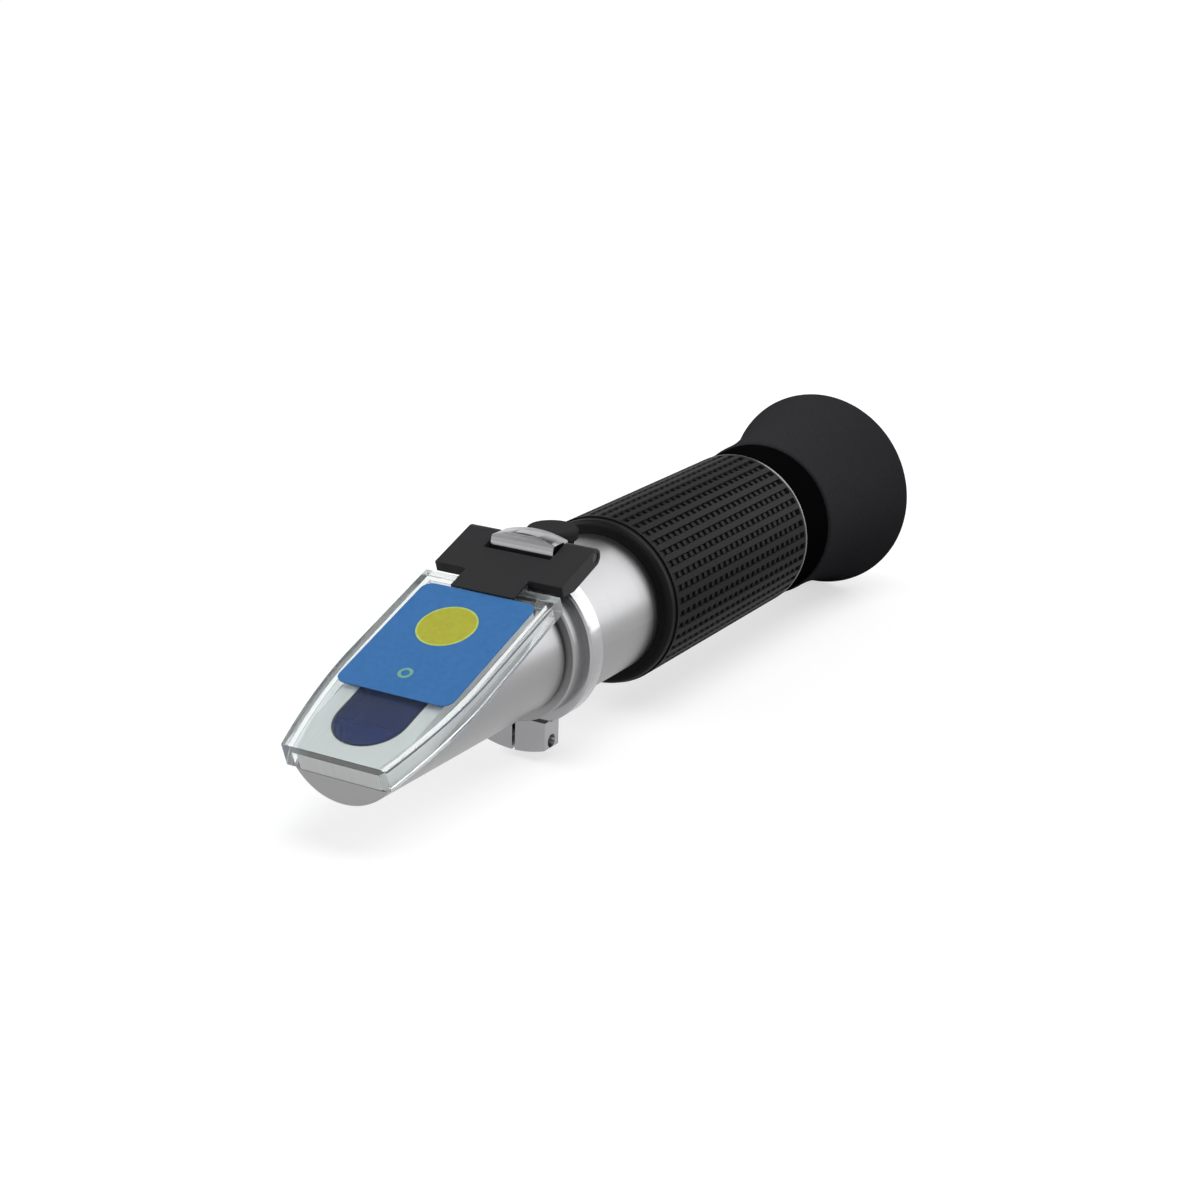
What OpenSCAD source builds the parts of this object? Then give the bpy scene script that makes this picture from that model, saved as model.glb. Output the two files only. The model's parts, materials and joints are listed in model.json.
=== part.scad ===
// Handheld brix refractometer with a hinged daylight plate.
// The optical axis runs along +Y, from the nose of the head to the eyecup, and the plate opens upward.
// A station is a distance along that axis from the nose, and a height is measured from the axis.

/* [Head] */
// Length of the round head, from the nose to its flange
head_len = 45.5; // [42:0.5:50]
// Radius of the head
head_r = 11; // [10.5:0.1:11.5]
// Height of the flat nose face below the slanted face
nose_h = 3.9; // [3.4:0.1:4.5]
// Width of the flange behind the head
flange_w = 2.8; // [2.2:0.1:3.2]
// Radius of the flange
flange_r = 12.5; // [12:0.1:12.6]
// Rounding where the head meets its flange
shoulder_r = 0.9; // [0.5:0.1:1.2]
// Length of the spigot inside the tube
spigot_len = 6; // [5:0.5:7]
// Radius of the light path through the head
light_bore_r = 4.5; // [4:0.1:5]

/* [Prism] */
// Thickness of the metal seat on the slanted face
seat_t = 3.25; // [2.8:0.05:3.6]
// Gap between the seat's rear end and the rear wall of the plate
seat_gap = 1; // [0.6:0.1:3]
// Width of the seat at the nose
seat_front_w = 14.6; // [14:0.1:14.8]
// Full width of the seat
seat_w = 18; // [16.5:0.1:18.4]
// Distance from the nose at which the seat has its full width
seat_shoulder = 7; // [6:0.5:12]
// Width of the oval window
window_w = 12.4; // [11:0.1:13.2]
// Length of the oval window
window_len = 27.5; // [24:0.5:29]
// Distance of the window from the front edge of the seat
window_inset = 3.6; // [3.2:0.1:5]
// Gap between prism and metal, filled by the cement
cement_w = 0.35; // [0.25:0.05:0.5]
// Width of the prism block under the window
prism_w = 11.2; // [9:0.1:11.6]
// Depth of the prism block below the seat
prism_depth = 4; // [3:0.1:4.4]

/* [Daylight plate] */
// Thickness of the clear plate
plate_t = 1.35; // [1.1:0.05:1.6]
// Gap of the sample film between prism and plate
film_gap = 0.1; // [0.08:0.01:0.12]
// How far the plate reaches past the front edge of the seat
plate_lip = 0.42; // [0.2:0.02:0.8]
// Gap between the plate's rear edge and the ears of the hinge block
plate_gap = 1.7; // [1.4:0.1:3]
// Width of the plate at its front edge
plate_front_w = 18.9; // [18.6:0.1:19.3]
// Full width of the plate
plate_w = 25.4; // [24.6:0.1:26]
// Distance from the nose at which the bowed sides of the plate reach its full width
plate_bow_len = 22; // [18:0.5:26]
// Depth of the side walls at the front, from the top of the plate
skirt_front_h = 4.1; // [3:0.1:4.3]
// Depth of the side walls and the rear wall at the rear, from the top of the plate
skirt_rear_h = 3.1; // [2.4:0.1:3.4]
// Thickness of the side walls and the rear wall
skirt_t = 1.7; // [1.2:0.05:1.8]
// Thickness of the label
label_t = 0.15; // [0.1:0.01:0.2]
// Bare strip of plate in front of the label
label_front = 15.4; // [13:0.2:18]
// Gap between the label and the tongue of the hinge block
label_gap = 0.1; // [0.05:0.05:1]
// Bare strip beside the label
label_side = 2.15; // [1.5:0.05:3]
// Corner radius of the label
label_corner = 1.8; // [1:0.1:2.4]

/* [Hinge block] */
// Width of the hinge block over its ears
block_w = 24; // [22.5:0.1:25]
// Distance of the hinge pin behind the front face of the collar
pin_back = 3.9; // [3.6:0.1:4.2]
// Height of the hinge pin above the collar ring
pin_rise = 1.84; // [1.7:0.02:2]
// Radius of the hinge pin
pin_r = 0.75; // [0.6:0.05:0.9]
// Thickness of the ears, rounded about the pin
ear_t = 3; // [2.8:0.1:3.2]
// Clear width between the ears
ear_gap_w = 12.6; // [12.4:0.1:13]
// Length of the ears in front of the pin
ear_len = 10.6; // [10:0.1:11]
// Distance from the pin to the bridge between the ears
bridge_reach = 4.5; // [4.3:0.1:4.8]
// Thickness of the bridge
bridge_t = 1.9; // [1.7:0.1:2]
// How far the block stands proud of the plate
block_proud = 0.5; // [0.4:0.05:0.7]
// Width of the tongue that laps over the plate
tongue_w = 11.9; // [10.5:0.1:13]
// Length of the tongue in front of the ears
tongue_len = 4.8; // [3:0.1:5.4]
// Width of the plate's tab in the block
tab_w = 11; // [9:0.1:11.4]
// Length of the plate's tab inside the block
tab_grip = 2.6; // [2:0.1:3.4]

/* [Clamp collar] */
// Width of the collar ring
collar_w = 4; // [3.6:0.1:4.4]
// Radius of the collar ring
collar_r = 14; // [13.7:0.1:14.1]
// Metal over the hinge pin, up to the radius to which both lugs are turned
lug_cover = 2.5; // [2.3:0.1:2.7]
// Width of the hinge lug between the ears
lug_w = 11.8; // [11:0.1:12]
// Radius of the hinge lug's nose about the pin
lug_nose_r = 3.3; // [3:0.1:3.5]
// Length of the hinge lug behind the pin
lug_back = 1.3; // [1.1:0.1:1.6]
// Width of the clamp lug
foot_w = 12; // [11:0.1:13]
// Length of the clamp lug along the axis
foot_len = 4.4; // [4:0.1:4.8]
// Distance by which the clamp lug stands out in front of the ring
foot_lead = 0.8; // [0.4:0.1:1.2]
// Width of the split
split_w = 0.6; // [0.4:0.05:1]
// Radius of the clamp screw's shank
clamp_screw_r = 1.15; // [1:0.05:1.25]
// Radius of the clamp screw's head
clamp_head_r = 1.75; // [1.6:0.05:1.8]
// Height of the clamp screw's head
clamp_head_h = 1.9; // [1.6:0.1:2.2]

/* [Tube and calibration port] */
// Radius of the bare tube
tube_r = 12.3; // [12.2:0.05:12.4]
// Wall of the tube
tube_wall = 1.5; // [1.3:0.1:1.6]
// Length of bare tube between collar and grip
bare_tube_len = 21.4; // [20:0.2:26]
// Distance of the calibration port behind the collar
port_back = 6.2; // [6:0.1:7.5]
// Radius of the port bush over the tube
bush_r = 2.7; // [2.6:0.05:2.9]
// Height of the port bush above the middle of the tube
bush_top = 14.6; // [14.2:0.1:15]
// Radius of the calibration screw's shank
cal_screw_r = 1.2; // [1.1:0.05:1.3]
// Radius of the calibration screw's head
cal_head_r = 1.8; // [1.7:0.05:1.9]
// Radius of the rubber cap's head
cap_r = 4.35; // [4.1:0.05:4.5]
// Radius of the rubber cap's neck
cap_neck_r = 3.6; // [3.5:0.05:3.8]
// Height of the rubber cap's top above the axis
cap_top = 17.5; // [17:0.1:18]
// Thickness of the rubber cap's head
cap_head_t = 2.1; // [1.7:0.1:2.4]

/* [Optics] */
// Outer radius of the objective's holder
holder_r = 9.6; // [9.4:0.1:9.7]
// Length of the objective's holder
holder_len = 4; // [3.5:0.1:4.5]
// Radius of the objective lens
objective_r = 7; // [6:0.1:7.4]
// Travel of the objective to each side of its middle
lens_travel = 0.23; // [0.15:0.01:0.3]
// Gap between the scale disc's mount and the eyepiece
reticle_gap = 1.8; // [1:0.1:4]
// Thickness of the scale disc
reticle_t = 1.5; // [1:0.1:2]

/* [Grip] */
// Radius of the grip
grip_r = 15; // [14.5:0.1:15.5]
// Width of the ring in front of the grip
front_ring_w = 2; // [1.5:0.1:3]
// Length of the textured sleeve
sleeve_len = 51; // [48:0.5:54]
// Width of the ring behind the grip
end_ring_w = 0.9; // [0.7:0.1:1.4]
// Number of ribs round the grip
rib_count = 42; // [36:1:48]
// Width of a groove between two ribs
groove_w = 1.15; // [0.9:0.05:1.3]
// Depth of a groove between two ribs
groove_d = 0.45; // [0.3:0.05:0.6]

/* [Eyepiece] */
// Width of the smooth focusing ring
focus_ring_w = 9.2; // [8.5:0.1:11]
// Radius of the focusing ring
focus_ring_r = 14.9; // [14.6:0.1:15]
// Outward travel of the eyepiece
focus_travel = 4; // [3:0.1:4.5]
// Length of the rubber eyecup
cup_len = 28.1; // [26:0.1:31]
// Radius of the eyecup at its rim
cup_r = 19.8; // [19.4:0.1:20.5]
// Radius of the eyecup at its neck
cup_neck_r = 15.3; // [15.1:0.1:15.6]
// Thickness of the eyecup at its rim
cup_wall = 2.1; // [1.8:0.1:2.6]
// Radius of the eye lens
eye_lens_r = 8.6; // [8:0.1:9]

/* [Hidden] */
$fn = 96;

// One overrun for every cut, and the clearances of the moving fits
overrun = 1;
run_fit = 0.05;
turn_gap = 0.3;
small_edge = 0.3;

// Stations along the axis
collar_y = head_len + flange_w;
collar_end = collar_y + collar_w;
grip_y = collar_end + bare_tube_len;
sleeve_y = grip_y + front_ring_w;
end_ring_y = sleeve_y + sleeve_len;
grip_end = end_ring_y + end_ring_w;
focus_y = grip_end + turn_gap;
cup_y = focus_y + focus_ring_w;
cup_end = cup_y + cup_len;

// The slanted face starts at the nose, at this height, and its levels are measured square to it
chord_z = nose_h - head_r;
plate_low = seat_t + film_gap;
plate_high = plate_low + plate_t;
block_top = plate_high + block_proud;

// Its slope is the one at which the closed plate's level meets the hinge pin
pin_w = block_top - ear_t/2;
pin_y = collar_y + pin_back;
pin_z = collar_r + pin_rise;
pin_reach = norm([pin_y, pin_z - chord_z]);
pin_along = sqrt(pin_reach*pin_reach - pin_w*pin_w);
face_angle = atan2(pin_z - chord_z, pin_y) - asin(pin_w/pin_reach);
ear_front = pin_along - ear_len;
bridge_back = pin_along - bridge_reach;
plate_rear = ear_front - plate_gap;
skirt_back = plate_rear - skirt_t;
seat_len = skirt_back - seat_gap;

// The frame's origin lies below the middle of the whole length, at the lowest point of the rim
front_y = -plate_lip*cos(face_angle) - plate_high*sin(face_angle);
mid_y = (front_y + cup_end)/2;
axis_z = cup_r;

// Steps of the plate's bowed sides
bow_steps = 12;
bow_power = 1.75;

// Head
pocket_front = window_inset + window_w/2;
pocket_back = window_inset + window_len - cement_w;
light_bore_y = pocket_back*cos(face_angle);
tube_bore_r = tube_r - tube_wall;
spigot_wall = 1.5;
nose_edge = 0.3;

// Clamp collar
lug_top_r = pin_z + lug_cover;
foot_y = collar_y - foot_lead;
clamp_y = foot_y + foot_len/2;
clamp_z = -(collar_r + lug_top_r)/2;
clamp_sink = 0.1;
clamp_tip_inset = 1.3;
clamp_seat_x = -foot_w/2 + clamp_head_h + clamp_sink;
clamp_fit = 0.1;
socket_r = 0.9;
socket_depth = 1;
pin_end_inset = 0.2;

// Calibration port
port_y = collar_end + port_back;
bush_shank_r = 2;
bush_seat_z = sqrt(tube_r*tube_r - bush_r*bush_r);
head_seat_z = bush_top - cal_head_r + run_fit;
cal_head_top = bush_top - 2*small_edge;
slot_w = 0.5;
slot_depth = 0.5;
cap_fit = 0.1;
cap_base_z = tube_r + cap_fit;
cap_edge = 0.7;

// Optics
lens_gap = 0.3;
guide_overlap = 0.5;
guide_len = holder_len + 2*guide_overlap;
guide_y = port_y - guide_len/2;
holder_flat = 1.6;
guide_flat = holder_r - holder_flat;
guide_bore_r = holder_r + lens_travel + lens_gap;
lens_seat = 0.8;
objective_curve_share = 4;
screw_tip_z = holder_r + lens_gap;
baffle_t = 1.2;
baffle_r = 7.5;
front_baffle_back = 13;
rear_baffle_back = 28;
strip_w = 5;
strip_t = 0.6;
strip_len = 5;
reticle_r = 9.4;
reticle_lip = 1.4;
mount_len = 6;
ring_t = 1.6;

// Eyepiece
tube_inset = 2.4;
tube_end = focus_y + focus_ring_w - tube_inset;
barrel_r = tube_bore_r - run_fit;
barrel_reach = 20;
barrel_y = tube_end - barrel_reach;
mount_y = barrel_y - reticle_gap - mount_len;
reticle_y = mount_y + reticle_lip;
barrel_wall = 1.15;
barrel_flange_t = 1;
barrel_flange_r = tube_r - small_edge;
flange_y = tube_end + turn_gap;
shoulder_y = flange_y + barrel_flange_t + run_fit;
ring_boss_r = 13.4;
ring_boss_w = 6;
boss_end = cup_y + ring_boss_w;
clip_t = 1.2;
clip_y = boss_end + run_fit;
clip_lip = 0.75;
clip_r = barrel_r + clip_lip;
barrel_end = clip_y + clip_t + small_edge;
lens_bore_r = barrel_r - barrel_wall;
lens_curve_share = 3;
field_lens_inset = 2;
field_lens_y = barrel_y + field_lens_inset;
field_lens_t = 4;
eye_lens_t = 3.6;
eye_lens_y = barrel_end - small_edge - ring_t - eye_lens_t;
guide_screw_r = 0.9;
guide_screw_inset = 10;
guide_screw_y = tube_end - guide_screw_inset;
guide_bite = 0.7;
o_ring_w = 1.4;
o_ring_depth = 0.7;
o_ring_y = tube_end - o_ring_w;
cup_throat_r = clip_r + turn_gap;
cup_throat_w = 2.6;
cup_steps = 30;
cup_floor_steps = 12;
flare_power = 2.1;

silver = [0.78, 0.78, 0.79];
dark_grey = [0.2, 0.2, 0.21];
soft_black = [0.12, 0.12, 0.13];
glass_tint = [0.75, 0.85, 0.9, 0.45];
brass = [0.72, 0.6, 0.32];

// Points of an arc, from one angle to another
function arc(x, y, r, from, to, n = 8) =
    [for (i = [0:n]) [x + r*cos(from + (to - from)*i/n), y + r*sin(from + (to - from)*i/n)]];

// Share of the eyecup's flare that is reached at a share of its length
function flare_share(t) = pow(t, flare_power);

// Share of the bow's depth that is left at a distance along the face
function bow_share(y) = pow(max(0, plate_bow_len - y)/(plate_bow_len + plate_lip), bow_power);

// Half of the plate's width at a distance along the face
function plate_half_at(y) = (plate_w - (plate_w - plate_front_w)*bow_share(y))/2;

// Puts a revolved child on the optical axis, its own +Z running along +Y from a station
module along(station) {
    translate([0, station - mid_y, axis_z])
        rotate([-90, 0, 0])
            children();
}

// Plain ring on the optical axis
module ring(station, length, outer, inner) {
    along(station)
        difference() {
            cylinder(h = length, r = outer);
            translate([0, 0, -overrun])
                cylinder(h = length + 2*overrun, r = inner);
        }
}

// Ring with broken outer edges, turned from its profile of radius and length
module edged_ring(station, length, outer, inner, edge) {
    along(station)
        rotate_extrude()
            polygon([
                [inner, 0],
                [outer - edge, 0],
                [outer, edge],
                [outer, length - edge],
                [outer - edge, length],
                [inner, length]
            ]);
}

// Puts a child in the frame of the slanted face: X across, Y along the face, Z square to it
module on_face() {
    translate([0, -mid_y, axis_z + chord_z])
        rotate([face_angle, 0, 0])
            children();
}

// Extrudes an outline of station and height across the axis, from one X to another
module side_profile(from_x, to_x) {
    translate([from_x, -mid_y, axis_z])
        rotate([90, 0, 90])
            linear_extrude(height = to_x - from_x)
                children();
}

// Extrudes an outline in the face's own length and level across it, from one X to another
module face_profile(from_x, to_x) {
    on_face()
        translate([from_x, 0, 0])
            rotate([90, 0, 90])
                linear_extrude(height = to_x - from_x)
                    children();
}

// Round bar or hole square to the axis, running up from one height to another
module upright(station, from_z, to_z, radius) {
    translate([0, station - mid_y, axis_z + from_z])
        cylinder(h = to_z - from_z, r = radius);
}

// Round bar or hole across the object
module cross_bar(station, height, from_x, to_x, radius) {
    translate([from_x, station - mid_y, axis_z + height])
        rotate([0, 90, 0])
            cylinder(h = to_x - from_x, r = radius);
}

// Outline of the plate, drawn in by a margin, from one distance along the face to another
module plate_outline(margin, from_y, to_y) {
    side = concat(
        [for (i = [0:bow_steps])
            let (y = from_y + (plate_bow_len - from_y)*i/bow_steps)
                [plate_half_at(y) - margin, y]],
        [[plate_w/2 - margin, to_y]]
    );
    polygon(concat(side, [for (i = [len(side) - 1:-1:0]) [-side[i][0], side[i][1]]]));
}

// Oval of the prism window, drawn in by a margin
module oval(margin) {
    radius = window_w/2 - margin;
    union() {
        translate([0, window_inset + window_w/2])
            circle(r = radius);
        translate([-radius, window_inset + window_w/2])
            square([2*radius, window_len - window_w]);
        translate([0, window_inset + window_len - window_w/2])
            circle(r = radius);
    }
}

module prism_head() {
    color(silver)
        difference() {
            union() {
                along(0)
                    rotate_extrude()
                        polygon(concat(
                            [[0, 0], [head_r - nose_edge, 0], [head_r, nose_edge]],
                            arc(head_r - shoulder_r, head_len - shoulder_r, shoulder_r, 0, 90),
                            [[0, head_len]]
                        ));
                along(head_len)
                    rotate_extrude()
                        polygon([
                            [0, 0],
                            [flange_r - small_edge, 0],
                            [flange_r, small_edge],
                            [flange_r, flange_w],
                            [0, flange_w]
                        ]);
                along(collar_y)
                    cylinder(h = spigot_len, r = tube_bore_r);
            }
            intersection() {
                on_face()
                    translate([-flange_r, -head_r, 0])
                        cube([2*flange_r, head_len + 2*head_r, 3*head_r]);
                along(-overrun)
                    cylinder(h = head_len + overrun, r = 2*head_r);
            }
            on_face()
                translate([-prism_w/2 - cement_w, pocket_front - cement_w, -prism_depth - cement_w])
                    cube([
                        prism_w + 2*cement_w,
                        pocket_back - pocket_front + 2*cement_w,
                        prism_depth + 2*overrun
                    ]);
            along(light_bore_y)
                cylinder(h = head_len + head_r, r = light_bore_r);
            along(collar_y)
                cylinder(h = spigot_len + overrun, r = tube_bore_r - spigot_wall);
        }
}

module prism_seat() {
    color([0.83, 0.84, 0.82])
        on_face()
            linear_extrude(height = seat_t)
                difference() {
                    polygon([
                        [-seat_front_w/2, 0],
                        [seat_front_w/2, 0],
                        [seat_w/2, seat_shoulder],
                        [seat_w/2, seat_len],
                        [-seat_w/2, seat_len],
                        [-seat_w/2, seat_shoulder]
                    ]);
                    oval(0);
                }
}

module measuring_prism() {
    color(glass_tint)
        on_face()
            union() {
                linear_extrude(height = seat_t)
                    oval(cement_w);
                translate([-prism_w/2, pocket_front, -prism_depth])
                    cube([prism_w, pocket_back - pocket_front, prism_depth]);
            }
}

module prism_cement() {
    color(soft_black)
        on_face()
            linear_extrude(height = seat_t - film_gap)
                difference() {
                    oval(0);
                    oval(cement_w);
                }
}

module clamp_collar() {
    color([0.7, 0.7, 0.71])
        difference() {
            union() {
                edged_ring(collar_y, collar_w, collar_r, tube_r, small_edge);
                intersection() {
                    along(foot_y)
                        cylinder(h = foot_len + pin_y, r = lug_top_r);
                    side_profile(-lug_w/2, lug_w/2)
                        polygon(concat(
                            arc(pin_y, pin_z, lug_nose_r, 180, 90),
                            [
                                [pin_y + lug_back, pin_z + lug_nose_r],
                                [pin_y + lug_back, tube_r + small_edge],
                                [collar_end - small_edge, tube_r + small_edge],
                                [pin_y - lug_nose_r, tube_r + small_edge]
                            ]
                        ));
                }
                intersection() {
                    along(foot_y)
                        cylinder(h = foot_len, r = lug_top_r);
                    translate([-foot_w/2, -mid_y, axis_z - lug_top_r - overrun])
                        cube([foot_w, cup_end, lug_top_r + overrun - flange_r]);
                }
            }
            along(foot_y - overrun)
                cylinder(h = foot_len + pin_y, r = tube_r);
            translate([-split_w/2, -mid_y, axis_z - lug_top_r - overrun])
                cube([split_w, cup_end, lug_top_r]);
            cross_bar(pin_y, pin_z, -block_w, block_w, pin_r);
            cross_bar(clamp_y, clamp_z, -foot_w, foot_w, clamp_screw_r);
            cross_bar(clamp_y, clamp_z, -foot_w, clamp_seat_x, clamp_head_r + clamp_fit);
        }
}

module clamp_screw() {
    color([0.62, 0.62, 0.63])
        difference() {
            union() {
                cross_bar(clamp_y, clamp_z, clamp_seat_x, foot_w/2 - clamp_tip_inset, clamp_screw_r);
                cross_bar(clamp_y, clamp_z, clamp_seat_x - clamp_head_h, clamp_seat_x, clamp_head_r);
            }
            translate([clamp_seat_x - clamp_head_h - overrun, clamp_y - mid_y, axis_z + clamp_z])
                rotate([0, 90, 0])
                    cylinder(h = socket_depth + overrun, r = socket_r, $fn = 6);
        }
}

module hinge_pin() {
    color([0.66, 0.66, 0.68])
        cross_bar(pin_y, pin_z, -block_w/2 + pin_end_inset, block_w/2 - pin_end_inset, pin_r);
}

module body_tube() {
    color(silver)
        difference() {
            ring(collar_y, tube_end - collar_y, tube_r, tube_bore_r);
            upright(port_y, 0, bush_seat_z + overrun, bush_shank_r);
            upright(port_y, bush_seat_z, tube_r + overrun, bush_r);
            upright(guide_screw_y, -tube_r - overrun, 0, guide_screw_r);
            along(o_ring_y - o_ring_w/2)
                difference() {
                    cylinder(h = o_ring_w, r = tube_r + overrun);
                    cylinder(h = o_ring_w, r = tube_r - o_ring_depth);
                }
        }
}

module port_bush() {
    color(brass)
        difference() {
            union() {
                upright(port_y, tube_bore_r, bush_seat_z, bush_shank_r);
                upright(port_y, bush_seat_z, bush_top, bush_r);
            }
            upright(port_y, 0, bush_top + overrun, cal_screw_r + run_fit);
            upright(port_y, head_seat_z, bush_top + overrun, cal_head_r + run_fit);
        }
}

module cal_screw() {
    color(brass)
        difference() {
            union() {
                upright(port_y, screw_tip_z, head_seat_z + run_fit, cal_screw_r);
                upright(port_y, head_seat_z + run_fit, cal_head_top, cal_head_r);
            }
            translate([-cal_head_r, port_y - mid_y - slot_w/2, axis_z + cal_head_top - slot_depth])
                cube([2*cal_head_r, slot_w, slot_depth + overrun]);
        }
}

module cal_cap() {
    color(dark_grey)
        translate([0, port_y - mid_y, axis_z])
            difference() {
                rotate_extrude()
                    polygon(concat(
                        [[0, cap_base_z], [cap_neck_r, cap_base_z]],
                        [[cap_neck_r, cap_top - cap_head_t]],
                        arc(cap_r - cap_edge, cap_top - cap_head_t + cap_edge, cap_edge, -90, 0),
                        arc(cap_r - cap_edge, cap_top - cap_edge, cap_edge, 0, 90),
                        [[0, cap_top]]
                    ));
                cylinder(h = bush_top + cap_fit, r = bush_r + cap_fit);
            }
}

module lens_guide() {
    color(dark_grey)
        difference() {
            along(guide_y)
                cylinder(h = guide_len, r = tube_bore_r);
            intersection() {
                along(guide_y - overrun)
                    cylinder(h = guide_len + 2*overrun, r = guide_bore_r);
                translate([-guide_flat - run_fit, -mid_y, 0])
                    cube([2*guide_flat + 2*run_fit, cup_end, 2*axis_z]);
            }
            upright(port_y, 0, tube_bore_r + overrun, bush_shank_r);
        }
}

module lens_holder() {
    color(soft_black)
        difference() {
            intersection() {
                along(port_y - holder_len/2)
                    cylinder(h = holder_len, r = holder_r);
                translate([-guide_flat, -mid_y, 0])
                    cube([2*guide_flat, cup_end, 2*axis_z]);
            }
            along(port_y - holder_len/2 - overrun)
                cylinder(h = holder_len + 2*overrun, r = objective_r - lens_seat);
            along(port_y - holder_len/2 - overrun)
                cylinder(h = holder_len + overrun - lens_seat, r = objective_r);
        }
}

module objective_lens() {
    color(glass_tint)
        along(port_y - holder_len/2 + lens_seat)
            intersection() {
                cylinder(h = holder_len - 2*lens_seat, r = objective_r);
                translate([0, 0, holder_len - 2*lens_seat - objective_curve_share*objective_r])
                    sphere(r = objective_curve_share*objective_r);
            }
}

module bimetal_strip() {
    color(brass)
        translate([-strip_w/2, port_y + holder_len/2 - mid_y, axis_z - holder_r + lens_gap])
            cube([strip_w, strip_len, strip_t]);
}

module front_baffle() {
    color(soft_black)
        ring(port_y + front_baffle_back, baffle_t, tube_bore_r, baffle_r);
}

module rear_baffle() {
    color(soft_black)
        ring(port_y + rear_baffle_back, baffle_t, tube_bore_r, baffle_r);
}

module reticle_mount() {
    color(dark_grey)
        difference() {
            ring(mount_y, mount_len, tube_bore_r, reticle_r - reticle_lip);
            along(reticle_y)
                cylinder(h = mount_len, r = reticle_r);
        }
}

module reticle() {
    color(glass_tint)
        along(reticle_y)
            cylinder(h = reticle_t, r = reticle_r);
}

module reticle_ring() {
    color(brass)
        ring(reticle_y + reticle_t, ring_t, reticle_r, reticle_r - reticle_lip);
}

module tube_o_ring() {
    color(soft_black)
        along(o_ring_y)
            rotate_extrude()
                translate([tube_r - o_ring_depth/2 - run_fit/2, 0])
                    circle(d = o_ring_depth - run_fit, $fn = 24);
}

module guide_screw() {
    color([0.62, 0.62, 0.63])
        upright(guide_screw_y, -tube_r + small_edge, -barrel_r + guide_bite, guide_screw_r);
}

module grip_front_ring() {
    color(soft_black)
        along(grip_y)
            rotate_extrude()
                polygon(concat(
                    [[tube_r, 0]],
                    arc(grip_r - small_edge - front_ring_w/2, front_ring_w/2, front_ring_w/2, -90, 0),
                    [[grip_r - small_edge, front_ring_w], [tube_r, front_ring_w]]
                ));
}

module grip_sleeve() {
    color(dark_grey)
        along(sleeve_y)
            linear_extrude(height = sleeve_len)
                difference() {
                    circle(r = grip_r);
                    circle(r = tube_r);
                    for (i = [0:rib_count - 1])
                        rotate(360*i/rib_count)
                            translate([grip_r - groove_d, -groove_w/2])
                                square([groove_d + overrun, groove_w]);
                }
}

module grip_end_ring() {
    color([0.3, 0.3, 0.31])
        along(end_ring_y)
            rotate_extrude()
                polygon(concat(
                    [[tube_r, 0]],
                    arc(grip_r - end_ring_w/2, end_ring_w/2, end_ring_w/2, -90, 90),
                    [[tube_r, end_ring_w]]
                ));
}

module daylight_plate() {
    color([0.85, 0.92, 0.9, 0.5])
        union() {
            on_face()
                translate([0, 0, plate_low])
                    linear_extrude(height = plate_t)
                        union() {
                            plate_outline(0, -plate_lip, plate_rear);
                            translate([-tab_w/2, plate_rear - overrun])
                                square([tab_w, ear_front + tab_grip - plate_rear + overrun]);
                        }
            intersection() {
                on_face()
                    translate([0, 0, plate_high - skirt_front_h])
                        linear_extrude(height = skirt_front_h)
                            difference() {
                                plate_outline(0, -plate_lip, plate_rear);
                                plate_outline(skirt_t, -plate_lip - overrun, skirt_back);
                            }
                face_profile(-plate_w, plate_w)
                    polygon([
                        [-plate_lip, plate_high],
                        [-plate_lip, plate_high - skirt_front_h],
                        [plate_rear, plate_high - skirt_rear_h],
                        [plate_rear, plate_high]
                    ]);
            }
        }
}

module plate_label() {
    from_y = label_front - plate_lip;
    to_y = ear_front - tongue_len - label_gap;
    color([0.25, 0.5, 0.78])
        on_face()
            translate([0, 0, plate_high])
                linear_extrude(height = label_t)
                    hull() {
                        for (side = [-1, 1])
                            for (y = [from_y + label_corner, to_y - label_corner])
                                translate([side*(plate_w/2 - label_side - label_corner), y])
                                    circle(r = label_corner, $fn = 32);
                    }
}

module hinge_block() {
    color(dark_grey)
        difference() {
            union() {
                on_face()
                    translate([-block_w/2, ear_front, block_top - bridge_t])
                        cube([block_w, bridge_back - ear_front, bridge_t]);
                on_face()
                    translate([-tongue_w/2, ear_front - tongue_len, plate_high])
                        cube([tongue_w, tongue_len + overrun, block_proud]);
                for (x = [-block_w/2, ear_gap_w/2])
                    face_profile(x, x + (block_w - ear_gap_w)/2)
                        union() {
                            polygon([
                                [ear_front, block_top],
                                [ear_front, block_top - bridge_t],
                                [ear_front + ear_t, block_top - ear_t],
                                [pin_along, block_top - ear_t],
                                [pin_along, block_top]
                            ]);
                            translate([pin_along, pin_w])
                                circle(r = ear_t/2);
                        }
            }
            on_face()
                translate([-tab_w/2, ear_front - overrun, plate_low - overrun])
                    cube([tab_w, tab_grip + overrun, plate_t + overrun]);
            cross_bar(pin_y, pin_z, -block_w, block_w, pin_r + run_fit);
        }
}

module eyepiece_barrel() {
    color(dark_grey)
        difference() {
            union() {
                along(barrel_y)
                    cylinder(h = barrel_end - barrel_y, r = barrel_r);
                along(flange_y)
                    cylinder(h = barrel_flange_t, r = barrel_flange_r);
            }
            along(barrel_y - overrun)
                cylinder(h = barrel_end - barrel_y + 2*overrun, r = lens_bore_r - lens_seat);
            along(field_lens_y)
                cylinder(h = barrel_end - barrel_y, r = lens_bore_r);
            translate([
                -guide_screw_r - run_fit,
                guide_screw_y - focus_travel - guide_screw_r - run_fit - mid_y,
                axis_z - barrel_r - overrun
            ])
                cube([
                    2*guide_screw_r + 2*run_fit,
                    focus_travel + 2*guide_screw_r + 2*run_fit,
                    overrun + guide_bite + run_fit
                ]);
        }
}

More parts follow.
